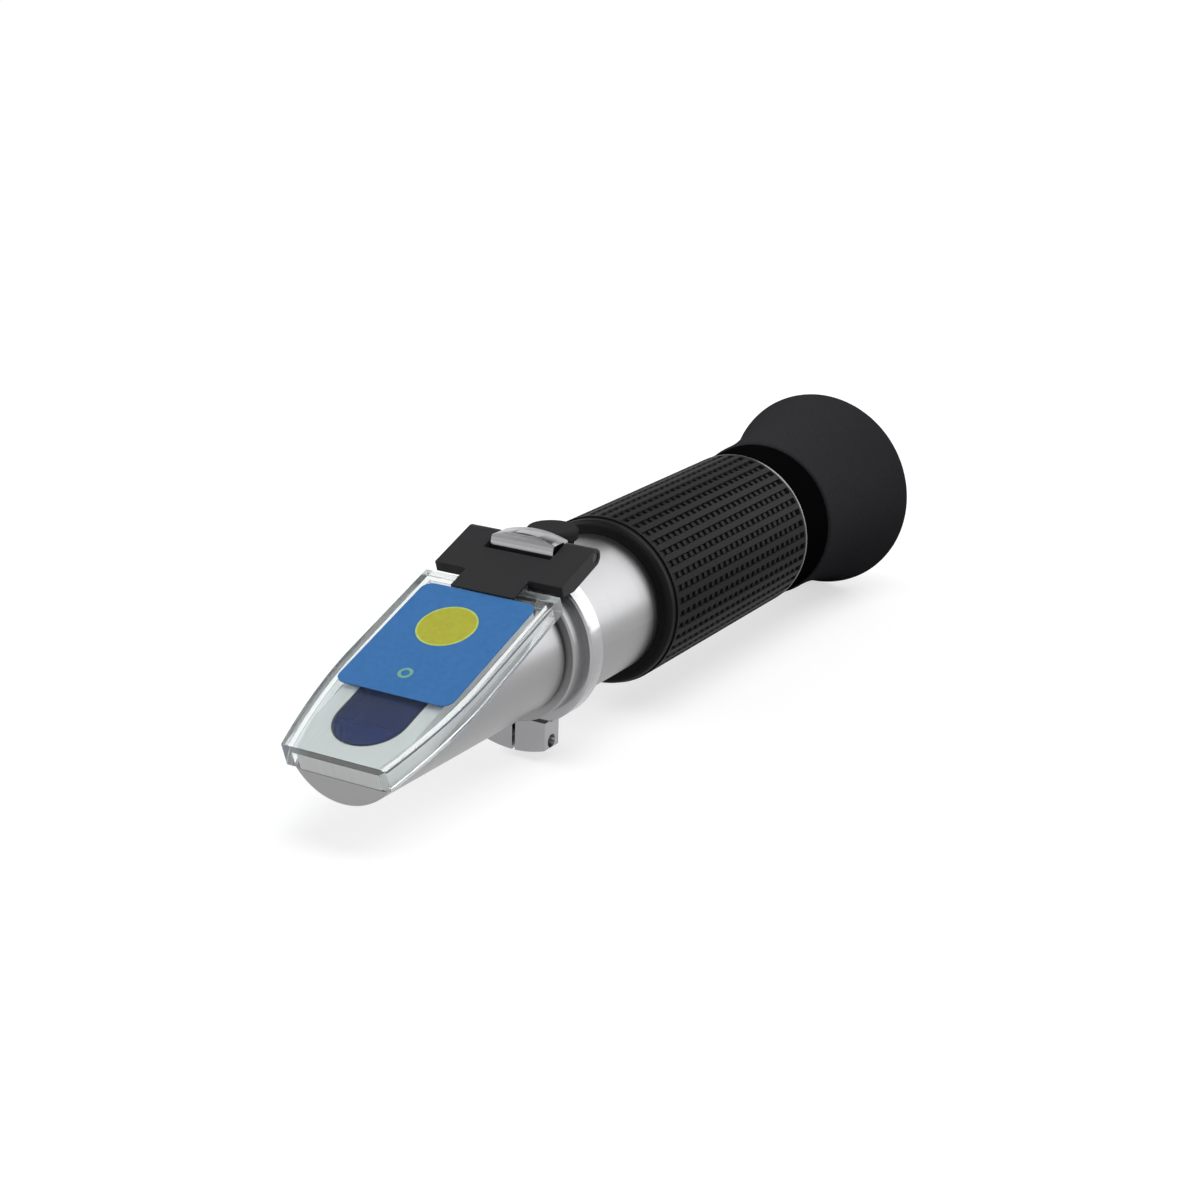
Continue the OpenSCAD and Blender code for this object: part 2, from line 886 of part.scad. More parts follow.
module field_lens() {
    color(glass_tint)
        along(field_lens_y)
            intersection() {
                cylinder(h = field_lens_t, r = lens_bore_r);
                translate([0, 0, field_lens_t - lens_curve_share*lens_bore_r])
                    sphere(r = lens_curve_share*lens_bore_r);
            }
}

module lens_spacer() {
    color(soft_black)
        ring(field_lens_y + field_lens_t, eye_lens_y - field_lens_y - field_lens_t, lens_bore_r,
            eye_lens_r - lens_seat);
}

module eye_lens() {
    color(glass_tint)
        along(eye_lens_y)
            intersection() {
                cylinder(h = eye_lens_t, r = lens_bore_r);
                translate([0, 0, lens_curve_share*lens_bore_r])
                    sphere(r = lens_curve_share*lens_bore_r);
            }
}

module lens_ring() {
    color(soft_black)
        ring(eye_lens_y + eye_lens_t, ring_t, lens_bore_r, eye_lens_r - lens_seat);
}

module barrel_clip() {
    color(dark_grey)
        ring(clip_y, clip_t, clip_r, barrel_r);
}

module focus_ring() {
    color(soft_black)
        difference() {
            union() {
                edged_ring(focus_y, focus_ring_w, focus_ring_r, barrel_r + run_fit, small_edge);
                ring(cup_y - overrun, ring_boss_w + overrun, ring_boss_r, barrel_r + run_fit);
            }
            along(focus_y - overrun)
                cylinder(h = shoulder_y - focus_y + overrun, r = tube_r + run_fit);
        }
}

module eyecup() {
    rim = cup_wall/2;
    flare = cup_r - cup_neck_r;
    color(soft_black)
        along(cup_y)
            rotate_extrude()
                polygon(concat(
                    [[ring_boss_r, 0], [cup_neck_r - small_edge, 0]],
                    [for (i = [0:cup_steps])
                        [
                            cup_neck_r + flare*flare_share(i/cup_steps),
                            small_edge + (cup_len - small_edge - rim)*i/cup_steps
                        ]],
                    arc(cup_r - rim, cup_len - rim, rim, 0, 180, 12),
                    [for (i = [cup_steps:-1:cup_floor_steps])
                        [
                            cup_neck_r + flare*flare_share(i/cup_steps) - cup_wall,
                            small_edge + (cup_len - small_edge - rim)*i/cup_steps
                        ]],
                    [
                        [cup_throat_r, ring_boss_w + cup_throat_w],
                        [cup_throat_r, ring_boss_w],
                        [ring_boss_r, ring_boss_w]
                    ]
                ));
}

prism_head();
prism_seat();
measuring_prism();
prism_cement();
clamp_collar();
clamp_screw();
hinge_pin();
body_tube();
port_bush();
lens_guide();
front_baffle();
rear_baffle();
reticle_mount();
reticle();
reticle_ring();
tube_o_ring();
guide_screw();
grip_front_ring();
grip_sleeve();
grip_end_ring();
daylight_plate();
plate_label();
hinge_block();
cal_screw();
lens_holder();
objective_lens();
bimetal_strip();
cal_cap();
eyepiece_barrel();
field_lens();
lens_spacer();
eye_lens();
lens_ring();
barrel_clip();
focus_ring();
eyecup();
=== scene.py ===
# Looks of a handheld brix refractometer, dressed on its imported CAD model.
# Lengths are in metres: X across, Y along the optical axis from the nose to the eyecup, Z up.
import json
import math

import bmesh
import bpy
from mathutils import Matrix, Vector


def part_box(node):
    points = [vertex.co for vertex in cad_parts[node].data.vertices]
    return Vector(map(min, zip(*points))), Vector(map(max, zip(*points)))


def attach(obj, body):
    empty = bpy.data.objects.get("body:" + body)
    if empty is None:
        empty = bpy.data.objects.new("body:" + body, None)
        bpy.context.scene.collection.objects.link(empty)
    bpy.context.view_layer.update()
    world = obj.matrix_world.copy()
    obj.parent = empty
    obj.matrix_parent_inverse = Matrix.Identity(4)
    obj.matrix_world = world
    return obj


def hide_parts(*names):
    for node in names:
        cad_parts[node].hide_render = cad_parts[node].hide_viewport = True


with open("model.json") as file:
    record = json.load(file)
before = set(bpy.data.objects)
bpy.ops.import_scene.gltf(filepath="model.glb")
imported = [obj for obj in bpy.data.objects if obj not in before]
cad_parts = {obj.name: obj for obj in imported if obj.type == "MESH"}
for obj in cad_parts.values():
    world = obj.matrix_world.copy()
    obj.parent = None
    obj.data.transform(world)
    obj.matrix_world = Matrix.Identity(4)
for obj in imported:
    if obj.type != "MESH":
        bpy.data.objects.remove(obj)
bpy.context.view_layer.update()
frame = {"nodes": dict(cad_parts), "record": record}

MM = 0.001


# The optical axis, and the stations along it that the CAD nodes give
NOSE_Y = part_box("prism_head")[0][1]
AXIS_Z = (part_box("eyecup")[0][2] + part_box("eyecup")[1][2]) / 2
SLEEVE_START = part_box("grip_sleeve")[0][1]
SLEEVE_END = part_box("grip_sleeve")[1][1]
CUP_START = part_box("eyecup")[0][1]
CUP_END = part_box("eyecup")[1][1]
TUBE_R = 12.3 * MM
GRIP_R = 15 * MM

# The slanted face that carries prism and daylight plate, and the sizes of the plate
FACE_ANGLE = math.radians(20)
FACE_NORMAL = (0, -math.sin(FACE_ANGLE), math.cos(FACE_ANGLE))
PIN_LEVEL = 3.7 * MM
PLATE_LOW = 3.35 * MM
PLATE_T = 1.35 * MM
PLATE_LIP = 0.42 * MM
PLATE_FRONT_W = 18.9 * MM
PLATE_W = 25.4 * MM
PLATE_BOW_LEN = 22 * MM
BOW_POWER = 1.75
BOW_STEPS = 36
SKIRT_FRONT_H = 4.1 * MM
SKIRT_REAR_H = 3.1 * MM
SKIRT_T = 1.7 * MM
TAB_W = 11 * MM
TAB_GRIP = 2.6 * MM
EAR_LEN = 10.6 * MM
PLATE_GAP = 1.7 * MM
LABEL_T = 0.15 * MM


def joint_place(name):
    """Where a joint's axis passes, in the row frame."""
    for joint in frame["record"]["behaviour"]["joints"]:
        if joint["name"] == name:
            return Vector(joint["pos_m"])
    raise ValueError(name)


hinge = joint_place("plate_hinge")
PIN_ALONG = (hinge.y - NOSE_Y + PIN_LEVEL * math.sin(FACE_ANGLE)) / math.cos(FACE_ANGLE)
FACE_Z = hinge.z - PIN_ALONG * math.sin(FACE_ANGLE) - PIN_LEVEL * math.cos(FACE_ANGLE)
EAR_FRONT = PIN_ALONG - EAR_LEN
PLATE_REAR = EAR_FRONT - PLATE_GAP
PLATE_HIGH = PLATE_LOW + PLATE_T


def on_face(across, along, level):
    """A point given across, along and square to the slanted face, in the row frame."""
    return Vector((
        across,
        NOSE_Y + along * math.cos(FACE_ANGLE) - level * math.sin(FACE_ANGLE),
        FACE_Z + along * math.sin(FACE_ANGLE) + level * math.cos(FACE_ANGLE),
    ))


def plate_half_w(along):
    """Half the width of the daylight plate, whose sides bow in towards its front edge."""
    bow = max(0, PLATE_BOW_LEN - along) / (PLATE_BOW_LEN + PLATE_LIP)
    return (PLATE_W - (PLATE_W - PLATE_FRONT_W) * bow ** BOW_POWER) / 2


# Nodes that several materials share

# The part of the noise's values that spreads a roughness, and the part that mixes two colours
NOISE_SPAN = (0.3, 0.7)
TINT_SPAN = (0.35, 0.65)


def new_material(name):
    """A material with its nodes, its links and its Principled shader."""
    material = bpy.data.materials.new(name)
    material.use_nodes = True
    tree = material.node_tree
    return material, tree.nodes, tree.links, tree.nodes["Principled BSDF"]


def set_inputs(node, values):
    """Sets inputs of a node, each by its name."""
    for name, value in values.items():
        node.inputs[name].default_value = value


def stretched_noise(nodes, links, scale, detail=4.0):
    """Noise over the object's own coordinates, with so many grains per metre on each axis."""
    place = nodes.new("ShaderNodeTexCoord")
    stretch = nodes.new("ShaderNodeMapping")
    stretch.inputs["Scale"].default_value = scale
    noise = nodes.new("ShaderNodeTexNoise")
    set_inputs(noise, {"Scale": 1.0, "Detail": detail})
    links.new(place.outputs["Object"], stretch.inputs["Vector"])
    links.new(stretch.outputs["Vector"], noise.inputs["Vector"])
    return noise.outputs["Fac"]


def spread_over(nodes, links, source, span, low, high):
    """The source's values in a span, spread from a low to a high value."""
    spread = nodes.new("ShaderNodeMapRange")
    set_inputs(spread, {"From Min": span[0], "From Max": span[1], "To Min": low, "To Max": high})
    links.new(source, spread.inputs["Value"])
    return spread.outputs["Result"]


def tinted(nodes, links, source, dark, light):
    """A colour between a dark and a light one, by the source."""
    ramp = nodes.new("ShaderNodeValToRGB")
    for element, place, colour in zip(ramp.color_ramp.elements, TINT_SPAN, (dark, light)):
        element.position = place
        element.color = (*colour, 1)
    links.new(source, ramp.inputs["Fac"])
    return ramp.outputs["Color"]


def roughened(nodes, links, source, low, high, shader):
    """Gives the shader a roughness from a low to a high value, by the source."""
    roughness = spread_over(nodes, links, source, NOISE_SPAN, low, high)
    links.new(roughness, shader.inputs["Roughness"])


def bumped(nodes, links, source, height, shader):
    """Gives the shader a bump of the source, that many metres high."""
    bump = nodes.new("ShaderNodeBump")
    set_inputs(bump, {"Strength": 1.0, "Distance": height})
    links.new(source, bump.inputs["Height"])
    links.new(bump.outputs["Normal"], shader.inputs["Normal"])


def worked_out(nodes, links, kind, operation, *sources):
    """What a maths node of a kind makes of its sources, which are outputs or fixed values."""
    maths = nodes.new(kind)
    maths.operation = operation
    for place, source in zip(maths.inputs, sources):
        if isinstance(source, bpy.types.NodeSocket):
            links.new(source, place)
        else:
            place.default_value = source
    return maths.outputs["Value"]


def mixed(nodes, links, share, first, second):
    """A shader that goes from the first to the second by a share."""
    mix = nodes.new("ShaderNodeMixShader")
    for place, source in zip(mix.inputs, (share, first, second)):
        links.new(source, place)
    return mix.outputs["Shader"]


# Kinds of material

# A metal's marks: their height in metres, and how much darker and lighter they are
MARK_HEIGHT = 0.6e-6
MARK_DARK = 0.96
MARK_LIGHT = 1.03


def turned_metal(name, colour, roughness, spread, marks, metallic):
    """Satin metal with the fine marks that a lathe or a grindstone leaves."""
    material, nodes, links, shader = new_material(name)
    lines = stretched_noise(nodes, links, marks)
    dark = [channel * MARK_DARK for channel in colour]
    light = [min(1, channel * MARK_LIGHT) for channel in colour]
    links.new(tinted(nodes, links, lines, dark, light), shader.inputs["Base Color"])
    roughened(nodes, links, lines, roughness - spread, roughness + spread, shader)
    shader.inputs["Metallic"].default_value = metallic
    bumped(nodes, links, lines, MARK_HEIGHT, shader)
    return material


# How far the roughness of rubber and plastic goes to either side
GRAIN_SPREAD = 0.05


def moulded(name, dark, light, roughness, grain, height, specular):
    """Rubber or plastic with a fine moulded grain."""
    material, nodes, links, shader = new_material(name)
    specks = stretched_noise(nodes, links, (grain, grain, grain))
    links.new(tinted(nodes, links, specks, dark, light), shader.inputs["Base Color"])
    roughened(nodes, links, specks, roughness - GRAIN_SPREAD, roughness + GRAIN_SPREAD, shader)
    shader.inputs["Specular IOR Level"].default_value = specular
    bumped(nodes, links, specks, height, shader)
    return material


# The film's mottle: grains per metre, detail, roughness from low to high, specular level, height
FILM_GRAIN = (900, 900, 900)
FILM_DETAIL = 2.0
FILM_SMOOTH = 0.38
FILM_ROUGH = 0.5
FILM_SPECULAR = 0.2
FILM_BUMP = 2e-6


def printed_film(name, dark, light):
    """Satin film, printed in one colour."""
    material, nodes, links, shader = new_material(name)
    mottle = stretched_noise(nodes, links, FILM_GRAIN, FILM_DETAIL)
    links.new(tinted(nodes, links, mottle, dark, light), shader.inputs["Base Color"])
    roughened(nodes, links, mottle, FILM_SMOOTH, FILM_ROUGH, shader)
    shader.inputs["Specular IOR Level"].default_value = FILM_SPECULAR
    bumped(nodes, links, mottle, FILM_BUMP, shader)
    return material


# The smears on clear pieces: grains per metre, and what they multiply the roughness by
SMEAR_GRAIN = (300, 300, 300)
SMEAR_LOW = 0.6
SMEAR_HIGH = 1.4
# Cosines to the slanted face's normal: an edge below the first, a face above the second
EDGE_SPAN = (0.5, 0.95)


def clear(name, colour, ior, roughness, milk, edge_milk):
    """Clear plastic or glass that lets the lamps through, with a share of milky scatter.

    A second share, if there is one, holds for the edges that stand square to the slanted face.
    """
    material, nodes, links, shader = new_material(name)
    set_inputs(shader, {
        "Base Color": (*colour, 1),
        "Transmission Weight": 1.0 - milk,
        "IOR": ior,
    })
    if edge_milk:
        normal = nodes.new("ShaderNodeTexCoord").outputs["Normal"]
        facing = worked_out(
            nodes, links, "ShaderNodeVectorMath", "DOT_PRODUCT", normal, FACE_NORMAL
        )
        either_side = worked_out(nodes, links, "ShaderNodeMath", "ABSOLUTE", facing)
        clearness = spread_over(
            nodes, links, either_side, EDGE_SPAN, 1.0 - edge_milk, 1.0 - milk
        )
        links.new(clearness, shader.inputs["Transmission Weight"])
    smears = stretched_noise(nodes, links, SMEAR_GRAIN)
    roughened(nodes, links, smears, roughness * SMEAR_LOW, roughness * SMEAR_HIGH, shader)
    rays = nodes.new("ShaderNodeLightPath")
    through = nodes.new("ShaderNodeBsdfTransparent")
    through.inputs["Color"].default_value = (*colour, 1)
    surface = mixed(
        nodes, links, rays.outputs["Is Shadow Ray"], shader.outputs["BSDF"], through.outputs["BSDF"]
    )
    links.new(surface, nodes["Material Output"].inputs["Surface"])
    return material


# Marks per metre on each axis
AXIS_RINGS = (60, 5000, 60)
UPRIGHT_LINES = (4000, 4000, 60)
SPECKS = (4000, 4000, 4000)
GROUND_LINES = (2500, 120, 120)

# Colour, roughness and its spread, marks, share of metal
METALS = {
    "satin_silver": ((0.29, 0.29, 0.295), 0.36, 0.06, AXIS_RINGS, 1.0),
    "collar_silver": ((0.35, 0.35, 0.36), 0.2, 0.04, AXIS_RINGS, 1.0),
    "ground_seat": ((0.56, 0.57, 0.565), 0.5, 0.06, GROUND_LINES, 0.4),
    "bright_steel": ((0.45, 0.45, 0.46), 0.25, 0.06, SPECKS, 1.0),
    "dark_steel": ((0.05, 0.05, 0.055), 0.35, 0.06, SPECKS, 1.0),
    "ring_metal": ((0.14, 0.14, 0.15), 0.25, 0.06, AXIS_RINGS, 1.0),
    "turned_brass": ((0.60, 0.47, 0.22), 0.3, 0.06, UPRIGHT_LINES, 1.0),
    "black_anodised": ((0.04, 0.04, 0.045), 0.4, 0.06, AXIS_RINGS, 1.0),
}
# Colour, index of refraction, roughness, milky share, milky share at the edges
GLASSES = {
    "prism_glass": ((0.09, 0.18, 0.60), 1.52, 0.02, 0.08, 0.0),
    "lens_glass": ((0.93, 0.97, 0.96), 1.52, 0.01, 0.0, 0.0),
    "clear_plastic": ((0.90, 0.93, 0.93), 1.49, 0.05, 0.005, 0.14),
}
# Dark and light colour, roughness, grains per metre and their height, specular level
MOULDINGS = {
    "hinge_plastic": ((0.018, 0.018, 0.019), (0.026, 0.026, 0.028), 0.52, 9000, 6e-6, 0.12),
    "cap_rubber": ((0.026, 0.026, 0.026), (0.033, 0.033, 0.033), 0.55, 7000, 4e-6, 0.0),
    "grip_rubber": ((0.006, 0.006, 0.0068), (0.010, 0.010, 0.011), 0.5, 6000, 4e-6, 0.04),
    "ring_plastic": ((0.0015, 0.0015, 0.0018), (0.003, 0.003, 0.0033), 0.42, 5000, 1e-6, 0.0),
    "cup_rubber": ((0.023, 0.023, 0.025), (0.032, 0.0315, 0.035), 0.42, 5000, 2e-6, 0.0),
    "satin_black": ((0.008, 0.008, 0.009), (0.012, 0.012, 0.013), 0.42, 5000, 1e-6, 0.06),
    "inner_plastic": ((0.008, 0.008, 0.008), (0.014, 0.014, 0.014), 0.7, 4000, 4e-6, 0.5),
    "dark_cement": ((0.008, 0.009, 0.014), (0.014, 0.016, 0.024), 0.6, 4000, 4e-6, 0.5),
}
# Dark and light colour
FILMS = {
    "blue_film": ((0.034, 0.136, 0.345), (0.041, 0.150, 0.37)),
    "yellow_print": ((0.35, 0.35, 0.036), (0.385, 0.385, 0.042)),
    "pale_print": ((0.14, 0.33, 0.26), (0.17, 0.36, 0.28)),
    "green_print": ((0.40, 0.50, 0.10), (0.44, 0.54, 0.12)),
}
KINDS = ((turned_metal, METALS), (clear, GLASSES), (moulded, MOULDINGS), (printed_film, FILMS))
looks = {name: make(name, *values) for make, table in KINDS for name, values in table.items()}

NODE_LOOKS = {
    "satin_silver": ("prism_head", "body_tube"),
    "ground_seat": ("prism_seat",),
    "prism_glass": ("measuring_prism",),
    "dark_cement": ("prism_cement",),
    "collar_silver": ("clamp_collar",),
    "bright_steel": ("clamp_screw", "guide_screw"),
    "dark_steel": ("hinge_pin",),
    "turned_brass": ("port_bush", "reticle_ring", "cal_screw", "bimetal_strip"),
    "inner_plastic": (
        "lens_guide", "front_baffle", "rear_baffle", "reticle_mount",
        "lens_holder", "lens_spacer", "lens_ring", "barrel_clip",
    ),
    "lens_glass": ("reticle", "objective_lens", "field_lens", "eye_lens"),
    "cup_rubber": ("tube_o_ring", "eyecup"),
    "satin_black": ("grip_front_ring",),
    "grip_rubber": ("grip_sleeve",),
    "ring_metal": ("grip_end_ring",),
    "clear_plastic": ("daylight_plate",),
    "blue_film": ("plate_label",),
    "hinge_plastic": ("hinge_block",),
    "cap_rubber": ("cal_cap",),
    "black_anodised": ("eyepiece_barrel",),
    "ring_plastic": ("focus_ring",),
}
for look, alike in NODE_LOOKS.items():
    for node in alike:
        slots = frame["nodes"][node].data.materials
        slots.clear()
        slots.append(looks[look])


# CAD nodes with broken edges
SHARP_FROM = math.radians(40)
FLAT_BELOW = math.radians(0.5)
WELD_GAP = 1e-6
BREAK_SEGMENTS = 2
BREAKS = {"hinge_block": 0.15 * MM, "clamp_collar": 0.1 * MM, "prism_seat": 0.15 * MM}


def rounded(piece, name, width, segments):
    """Rounds a piece's sharp edges by a modifier."""
    bevel = piece.modifiers.new(name, "BEVEL")
    bevel.width = width
    bevel.segments = segments
    bevel.limit_method = "ANGLE"
    bevel.angle_limit = SHARP_FROM
    bevel.harden_normals = True


for node, width in BREAKS.items():
    piece = frame["nodes"][node]
    weld = piece.modifiers.new("weld", "WELD")
    weld.merge_threshold = WELD_GAP
    flatten = piece.modifiers.new("flatten", "DECIMATE")
    flatten.decimate_type = "DISSOLVE"
    flatten.angle_limit = FLAT_BELOW
    rounded(piece, "bevel", width, BREAK_SEGMENTS)


# Pieces made here, of which the first three stand for a CAD node
CREASE = math.radians(30)
GRIP_CREASE = math.radians(25)


def mesh_piece(name, points, faces, look, slot, body, node=None, crease=CREASE):
    """A closed mesh that rides on a body and, if a node is named, stands for it."""
    mesh = bpy.data.meshes.new(name)
    mesh.from_pydata([tuple(point) for point in points], [], faces)
    tidy = bmesh.new()
    tidy.from_mesh(mesh)
    bmesh.ops.recalc_face_normals(tidy, faces=tidy.faces)
    tidy.to_mesh(mesh)
    tidy.free()
    mesh.shade_smooth()
    mesh.set_sharp_from_angle(angle=crease)
    mesh.materials.append(looks[look])
    piece = bpy.data.objects.new(name, mesh)
    bpy.context.scene.collection.objects.link(piece)
    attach(piece, body)
    if node:
        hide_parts(node)
    return piece


def wrapped_grid(loops):
    """Points and faces of closed loops of equally many points, the last joined to the first."""
    points = [point for loop in loops for point in loop]
    count = len(loops[0])
    faces = []
    for row in range(len(loops)):
        after = (row + 1) % len(loops)
        for column in range(count):
            beside = (column + 1) % count
            faces.append((
                row * count + column,
                row * count + beside,
                after * count + beside,
                after * count + column,
            ))
    return points, faces


def round_point(radius, angle, station):
    """A point at a radius and an angle round the optical axis, at a place along Y."""
    return Vector((radius * math.sin(angle), station, AXIS_Z + radius * math.cos(angle)))


# Grip: long ribs, with lower lands across the grooves between them
RIBS = 42
LAND_ROWS = 24
GROOVE_W = 1.15 * MM
GROOVE_D = 0.58 * MM
SLOPE_W = 0.14 * MM
LAND_DROP = 0.28 * MM
PLAIN_END = 0.7 * MM
BAND_END = 0.5 * MM


def cell_steps(pitch):
    """Places in one cell of a pattern: the two edges of its land, then those of its gap's floor."""
    land = pitch - GROOVE_W
    return [0, land, land + SLOPE_W, pitch - SLOPE_W]


def grip_loops():
    """The sleeve's loops: a grid of pits, then a bore on the tube."""
    pitch = (SLEEVE_END - SLEEVE_START - 2 * PLAIN_END) / LAND_ROWS
    rib_angle = math.tau / RIBS
    rib_pitch = rib_angle * GRIP_R
    stations = [(SLEEVE_START, None), (SLEEVE_START + BAND_END, None)]
    for row in range(LAND_ROWS):
        for number, step in enumerate(cell_steps(pitch)):
            stations.append((SLEEVE_START + PLAIN_END + row * pitch + step, number > 1))
    stations.append((SLEEVE_END - PLAIN_END, False))
    stations.append((SLEEVE_END - BAND_END, None))
    stations.append((SLEEVE_END, None))
    start = (GROOVE_W - rib_pitch) / 2
    angles = []
    for rib in range(RIBS):
        for number, step in enumerate(cell_steps(rib_pitch)):
            angles.append((rib * rib_angle + (start + step) / GRIP_R, number > 1))
    # A groove's depth: none at the plain ends, less on a land, all of it in a pit
    drops = {None: 0, False: LAND_DROP, True: GROOVE_D}
    loops = []
    for station, in_row in stations:
        loop = []
        for angle, in_groove in angles:
            drop = drops[in_row] if in_groove else 0
            loop.append(round_point(GRIP_R - drop, angle, station))
        loops.append(loop)
    for station in (SLEEVE_END, SLEEVE_START):
        loops.append([round_point(TUBE_R, angle, station) for angle, _ in angles])
    return loops


mesh_piece(
    "grip_texture", *wrapped_grid(grip_loops()),
    "grip_rubber", "grip_rubber", "root", "grip_sleeve", GRIP_CREASE,
)


# Eyecup: one fine revolved skin, flared like a trumpet
CUP_R = 19.8 * MM
CUP_NECK_R = 15.3 * MM
CUP_WALL = 2.1 * MM
CUP_EDGE = 0.3 * MM
CUP_THROAT_R = 11.85 * MM
RING_BOSS_R = 13.4 * MM
RING_BOSS_W = 6 * MM
THROAT_W = 2.6 * MM
FLARE_POWER = 2.1
FLARE_STEPS = 60
FLARE_INSIDE_FROM = 24
RIM_STEPS = 12
CUP_TURN_STEPS = 192


def cup_profile():
    """Outside, rim, inside and seat of the eyecup, each point a radius and a place along Y."""
    rim = CUP_WALL / 2
    span = CUP_END - CUP_START - CUP_EDGE - rim
    widen = CUP_R - CUP_NECK_R
    outside = []
    for i in range(FLARE_STEPS + 1):
        share = i / FLARE_STEPS
        radius = CUP_NECK_R + widen * share ** FLARE_POWER
        outside.append((radius, CUP_START + CUP_EDGE + span * share))
    profile = [(RING_BOSS_R, CUP_START), (CUP_NECK_R - CUP_EDGE, CUP_START)] + outside
    for i in range(1, RIM_STEPS):
        turn = math.pi * i / RIM_STEPS
        profile.append((CUP_R - rim + rim * math.cos(turn), CUP_END - rim + rim * math.sin(turn)))
    for radius, station in reversed(outside[FLARE_INSIDE_FROM:]):
        profile.append((radius - CUP_WALL, station))
    profile.append((CUP_THROAT_R, CUP_START + RING_BOSS_W + THROAT_W))
    profile.append((CUP_THROAT_R, CUP_START + RING_BOSS_W))
    profile.append((RING_BOSS_R, CUP_START + RING_BOSS_W))
    return profile


cup_loops = [
    [
        round_point(radius, math.tau * i / CUP_TURN_STEPS, station)
        for i in range(CUP_TURN_STEPS)
    ]
    for radius, station in cup_profile()
]
mesh_piece(
    "eyecup_skin", *wrapped_grid(cup_loops), "cup_rubber", "cup_rubber", "eyecup_ring", "eyecup"
)


# Daylight plate: slab, side walls and tab as one closed block of cells
SOFT_W = 0.18 * MM
SOFT_SEGMENTS = 3


def cell_block(planes_x, planes_y, planes_z, filled):
    """Points and outer faces of the filled cells between planes; a cell is (column, row, layer)."""
    index = {}
    points = []

    def corner(i, j, k):
        """Number of the corner where three planes meet."""
        if (i, j, k) not in index:
            index[i, j, k] = len(points)
            along = planes_y[j]
            points.append(on_face(planes_x(along)[i], along, planes_z(along)[k]))
        return index[i, j, k]

    faces = []
    for i, j, k in sorted(filled):
        right, behind, above = i + 1, j + 1, k + 1
        sides = {
            (i - 1, j, k): ((i, j, k), (i, behind, k), (i, behind, above), (i, j, above)),
            (right, j, k): (
                (right, j, k), (right, behind, k), (right, behind, above), (right, j, above)
            ),
            (i, j - 1, k): ((i, j, k), (right, j, k), (right, j, above), (i, j, above)),
            (i, behind, k): (
                (i, behind, k), (right, behind, k), (right, behind, above), (i, behind, above)
            ),
            (i, j, k - 1): ((i, j, k), (right, j, k), (right, behind, k), (i, behind, k)),
            (i, j, above): (
                (i, j, above), (right, j, above), (right, behind, above), (i, behind, above)
            ),
        }
        for beside, loop in sides.items():
            if beside not in filled:
                faces.append([corner(*place) for place in loop])
    return points, faces


def plate_planes(along):
    """Places across the plate where its walls and its tab begin, at a distance along the face."""
    half = plate_half_w(min(along, PLATE_REAR))
    return [-half, SKIRT_T - half, -TAB_W / 2, TAB_W / 2, half - SKIRT_T, half]


def plate_levels(along):
    """Levels of the walls' lower edge and of the slab's two faces, at a distance along the face."""
    share = (min(along, PLATE_REAR) + PLATE_LIP) / (PLATE_REAR + PLATE_LIP)
    depth = SKIRT_FRONT_H + (SKIRT_REAR_H - SKIRT_FRONT_H) * share
    return [PLATE_HIGH - depth, PLATE_LOW, PLATE_HIGH]


bow_stops = [
    -PLATE_LIP + (PLATE_BOW_LEN + PLATE_LIP) * i / BOW_STEPS for i in range(BOW_STEPS + 1)
]
COLUMNS = range(5)
WALL_COLUMNS = (0, 4)
TAB_COLUMN = 2
WALL_LAYER = 0
SLAB_LAYER = 1
REAR_ROW = BOW_STEPS + 1
slab = {(column, row, SLAB_LAYER) for column in COLUMNS for row in range(REAR_ROW + 1)}
side_walls = {(column, row, WALL_LAYER) for column in WALL_COLUMNS for row in range(REAR_ROW)}
rear_wall = {(column, REAR_ROW, WALL_LAYER) for column in COLUMNS}
tab = {(TAB_COLUMN, REAR_ROW + 1, SLAB_LAYER)}
points, faces = cell_block(
    plate_planes,
    bow_stops + [PLATE_REAR - SKIRT_T, PLATE_REAR, EAR_FRONT + TAB_GRIP],
    plate_levels,
    slab | side_walls | rear_wall | tab,
)
plate = mesh_piece(
    "clear_plate", points, faces, "clear_plastic", "clear_plastic", "cover", "daylight_plate"
)
rounded(plate, "soft_edge", SOFT_W, SOFT_SEGMENTS)


# Printed disc and rings on the label: place across and along, outer and inner radius, look
SPOT_H = 0.03 * MM
SPOT_STEPS = 64
LABEL_TOP = PLATE_HIGH + LABEL_T
SPOTS = {
    "large_spot": (-0.7 * MM, 32.2 * MM, 4.7 * MM, 0.05 * MM, "yellow_print"),
    "large_rim": (-0.7 * MM, 32.2 * MM, 5 * MM, 4.65 * MM, "green_print"),
    "small_ring": (-0.5 * MM, 20 * MM, 1.25 * MM, 0.7 * MM, "pale_print"),
}


def spot_loops(across, along, outer, inner):
    """Loops of a thin printed ring on top of the label, its edges rounded down."""
    profile = [
        (inner, 0),
        (outer, 0),
        (outer - SPOT_H, SPOT_H),
        (inner + SPOT_H, SPOT_H),
    ]
    angles = [math.tau * i / SPOT_STEPS for i in range(SPOT_STEPS)]
    return [
        [
            on_face(
                across + radius * math.cos(angle),
                along + radius * math.sin(angle),
                LABEL_TOP + height,
            )
            for angle in angles
        ]
        for radius, height in profile
    ]


for name, (*shape, look) in SPOTS.items():
    mesh_piece(name, *wrapped_grid(spot_loops(*shape)), look, "label_film", "cover")


